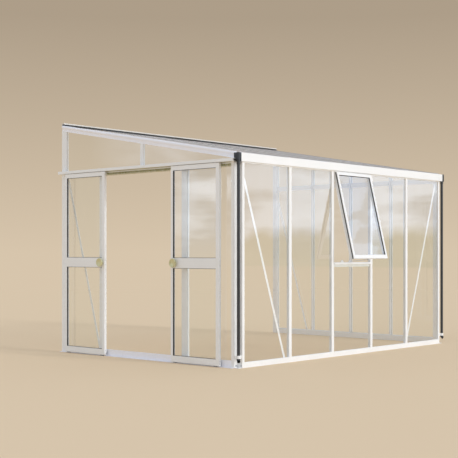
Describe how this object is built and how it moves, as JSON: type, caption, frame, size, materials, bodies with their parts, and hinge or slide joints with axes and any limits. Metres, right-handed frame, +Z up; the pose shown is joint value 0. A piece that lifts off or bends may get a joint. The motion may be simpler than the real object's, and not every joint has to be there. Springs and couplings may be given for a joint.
{
  "type": "lean-to glass greenhouse",
  "caption": "White lean-to glass greenhouse with sliding end doors, a propped vent, a sloping translucent roof, a gutter and corner downpipes.",
  "frame": {"origin": "middle of the footprint of the whole object, at ground level", "axes": "+X along the front away from the doors, +Y from the front towards the house wall, +Z up"},
  "size_m": [3.954, 2.9352, 2.6097],
  "materials": {
    "white_metal": "satin white powder coat on aluminium",
    "glass": "clear toughened glass",
    "roof_sheet": "translucent ribbed multiwall sheet",
    "black_plastic": "moulded black plastic",
    "black_rubber": "black glazing rubber",
    "knob_metal": "satin olive brass",
    "plain_metal": "mill aluminium"
  },
  "bodies": {
    "greenhouse": {"corner_post_left": "white_metal", "corner_post_right": "white_metal", "door_jamb_back": "white_metal", "door_jamb_front": "white_metal", "door_track": "white_metal", "downpipe_left": "black_plastic", "downpipe_right": "black_plastic", "eaves_beam": "white_metal", "front_bar_1": "white_metal", "front_bar_2": "white_metal", "front_bar_3": "white_metal", "front_bar_4": "white_metal", "front_glass": "glass", "front_sill": "white_metal", "gable_glass": "glass", "gutter": "white_metal", "gutter_outlets": "black_plastic", "left_end_glass": "glass", "left_end_sill": "white_metal", "left_gable_bar": "white_metal", "left_header": "white_metal", "pipe_clips": "white_metal", "rafter_left": "white_metal", "rafter_right": "white_metal", "right_end_bars": "white_metal", "right_end_glass": "glass", "right_end_sill": "white_metal", "right_transom": "white_metal", "roof_bars": "white_metal", "roof_sheets": "roof_sheet", "vent_frame": "white_metal", "vent_glass": "glass", "vent_sill": "white_metal", "vent_stay": "plain_metal", "wall_plate": "white_metal", "wall_post_left": "white_metal", "wall_post_right": "white_metal", "wall_seal": "black_rubber", "wind_braces": "white_metal"},
    "back_door": {"back_door_frame": "white_metal", "back_door_glass": "glass", "back_door_hangers": "plain_metal", "back_door_knob": "knob_metal"},
    "front_door": {"front_door_frame": "white_metal", "front_door_glass": "glass", "front_door_hangers": "plain_metal", "front_door_knob": "knob_metal"}
  },
  "joints": [
    {"name": "back_door_slide", "type": "slide", "parent": "greenhouse", "child": "back_door", "axis": [0, 1, 0], "range_m": [-0.53, 0.055]},
    {"name": "front_door_slide", "type": "slide", "parent": "greenhouse", "child": "front_door", "axis": [0, -1, 0], "range_m": [-0.484, 0.101]}
  ]
}
